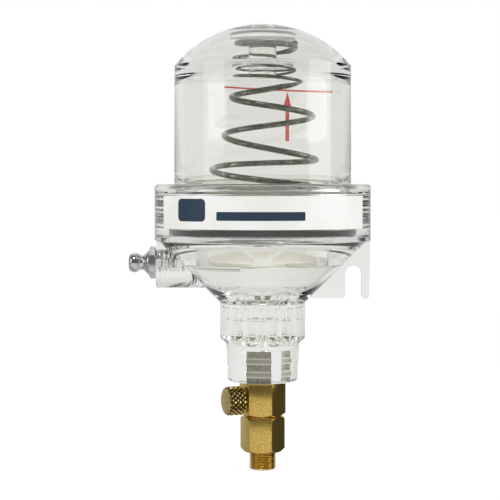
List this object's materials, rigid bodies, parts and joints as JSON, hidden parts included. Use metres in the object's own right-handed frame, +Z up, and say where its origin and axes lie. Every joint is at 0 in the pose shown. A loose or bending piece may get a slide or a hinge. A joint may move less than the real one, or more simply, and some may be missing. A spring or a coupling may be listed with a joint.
{
  "type": "automatic grease lubricator",
  "caption": "Spring-loaded automatic grease lubricator: clear dome and funnel bowl, conical spring and piston, side grease nipple, brass metering valve, threaded outlet.",
  "frame": {"origin": "on the reservoir's axis, at the shoulder of the male outlet thread", "axes": "+Z up along the reservoir's axis, from the outlet to the dome; the grease nipple points along -X and the slotted plate along +X; the label faces -Y"},
  "size_m": [0.0878, 0.0785, 0.1617],
  "materials": {
    "clear_plastic": "clear polycarbonate, polished",
    "natural_plastic": "natural moulded plastic",
    "brass": "turned brass",
    "spring_steel": "drawn spring wire",
    "zinc_steel": "bright zinc plated",
    "insert_metal": "turned",
    "black_rubber": "moulded",
    "label_vinyl": "white vinyl"
  },
  "bodies": {
    "reservoir": {"bowl": "clear_plastic", "dome": "clear_plastic", "dome_gasket": "black_rubber", "label": "label_vinyl", "main_spring": "spring_steel", "outlet_insert": "insert_metal", "valve_body": "brass", "outlet_adaptor": "brass", "nipple_body": "zinc_steel", "nipple_spring": "spring_steel"},
    "piston": {"piston": "natural_plastic", "piston_seal": "black_rubber"},
    "nipple_ball": {"nipple_ball": "zinc_steel"},
    "metering_seal": {"metering_oring": "black_rubber"},
    "metering_screw": {"metering_screw": "brass"}
  },
  "joints": [
    {"name": "piston_slide", "type": "slide", "parent": "reservoir", "child": "piston", "axis": [0, 0, 1], "range_m": [0, 0.0375], "stiffness_N_per_m": 750, "springref_m": -0.02, "deforming": ["main_spring"]},
    {"name": "nipple_ball_slide", "type": "slide", "parent": "reservoir", "child": "nipple_ball", "axis": [1, 0, 0], "range_m": [0, 0.0008], "stiffness_N_per_m": 1500, "springref_m": -0.0005},
    {"name": "metering_travel", "type": "slide", "parent": "reservoir", "child": "metering_seal", "axis": [-0.9184, -0.3955, 0], "range_m": [-0.0009, 0.002]},
    {"name": "metering_turn", "type": "hinge", "parent": "metering_seal", "child": "metering_screw", "pos_m": [0, 0, 0.019], "axis": [-0.9184, -0.3955, 0], "range_deg": [-463, 1029]}
  ],
  "couplings": [
    {"joint": "metering_turn", "follows": "metering_travel", "rad_per_m": 8976}
  ]
}
